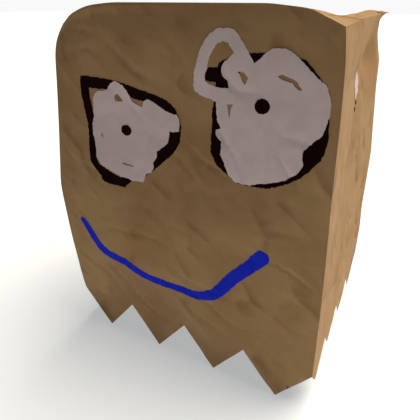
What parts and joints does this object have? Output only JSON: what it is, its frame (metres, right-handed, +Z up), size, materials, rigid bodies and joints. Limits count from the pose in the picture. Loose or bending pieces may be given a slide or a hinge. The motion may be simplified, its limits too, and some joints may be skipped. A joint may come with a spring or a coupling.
{
  "type": "paper bag puppet",
  "caption": "Block-bottomed kraft paper bag turned mouth down as a hand puppet, with a zigzag-cut hem, a hand-drawn face and side gussets that fold inwards.",
  "frame": {"origin": "middle of the footprint, at the level of the longest tooth tips, which the bag stands on", "axes": "+Z up to the crown; the drawn face looks towards -Y; +X is to the right of someone who looks at the face"},
  "size_m": [0.142, 0.1107, 0.158],
  "materials": {
    "kraft_paper": "matte, uncoated, softly crumpled",
    "dried_paste": "dull, dried starch paste",
    "black_marker": "matte marker ink soaked into the paper",
    "white_paint_pen": "matte, scribbled paint pen",
    "blue_marker": "matte marker ink"
  },
  "bodies": {
    "front": {"front_panel": "kraft_paper", "left_eye_outline": "black_marker", "left_eye_white": "white_paint_pen", "left_pupil": "black_marker", "right_eye_outline": "black_marker", "right_eye_white": "white_paint_pen", "right_eye_loop": "white_paint_pen", "right_pupil": "black_marker", "mouth_line": "blue_marker"},
    "left_front_gusset": {"left_gusset_front": "kraft_paper"},
    "left_back_gusset": {"left_gusset_back": "kraft_paper"},
    "back": {"back_panel": "kraft_paper", "seam_lap": "kraft_paper", "seam_paste": "dried_paste"},
    "right_back_gusset": {"right_gusset_back": "kraft_paper", "side_white_mark": "white_paint_pen", "side_black_marks": "black_marker"},
    "right_front_gusset": {"right_gusset_front": "kraft_paper"},
    "crown_front": {"crown_front_flap": "kraft_paper", "crown_lap": "kraft_paper", "crown_paste": "dried_paste", "left_tuck_front": "kraft_paper", "right_tuck_front": "kraft_paper"},
    "crown_back": {"crown_back_flap": "kraft_paper", "left_tuck_back": "kraft_paper", "right_tuck_back": "kraft_paper", "corner_ear": "kraft_paper"}
  },
  "joints": [
    {"name": "right_front_crease", "type": "hinge", "parent": "front", "child": "right_front_gusset", "pos_m": [0.0706, -0.0546, 0.09], "axis": [0, 0, 1], "range_deg": [0, 70]},
    {"name": "right_middle_crease", "type": "hinge", "parent": "right_front_gusset", "child": "right_back_gusset", "pos_m": [0.0649, 0.00003, 0.09], "axis": [0, 0, -1], "range_deg": [0, 140]},
    {"name": "right_back_crease", "type": "hinge", "parent": "right_back_gusset", "child": "back", "pos_m": [0.0586, 0.0546, 0.09], "axis": [0, 0, 1], "range_deg": [0, 70]},
    {"name": "left_back_crease", "type": "hinge", "parent": "back", "child": "left_back_gusset", "pos_m": [-0.0706, 0.0546, 0.09], "axis": [0, 0, 1], "range_deg": [0, 70]},
    {"name": "left_front_crease", "type": "hinge", "parent": "front", "child": "left_front_gusset", "pos_m": [-0.0586, -0.0546, 0.09], "axis": [0, 0, -1], "range_deg": [0, 70]},
    {"name": "crown_front_crease", "type": "hinge", "parent": "front", "child": "crown_front", "pos_m": [0.006, -0.055, 0.157], "axis": [1, 0, 0], "range_deg": [0, 70]},
    {"name": "crown_back_crease", "type": "hinge", "parent": "back", "child": "crown_back", "pos_m": [-0.006, 0.055, 0.157], "axis": [-1, 0, 0], "range_deg": [0, 70]}
  ],
  "couplings": [
    {"joint": "right_middle_crease", "follows": "right_front_crease", "ratio": 2},
    {"joint": "right_back_crease", "follows": "right_front_crease", "ratio": 1},
    {"joint": "left_back_crease", "follows": "right_front_crease", "ratio": 1},
    {"joint": "left_front_crease", "follows": "right_front_crease", "ratio": 1},
    {"joint": "crown_front_crease", "follows": "right_front_crease", "ratio": 1},
    {"joint": "crown_back_crease", "follows": "right_front_crease", "ratio": 1}
  ]
}
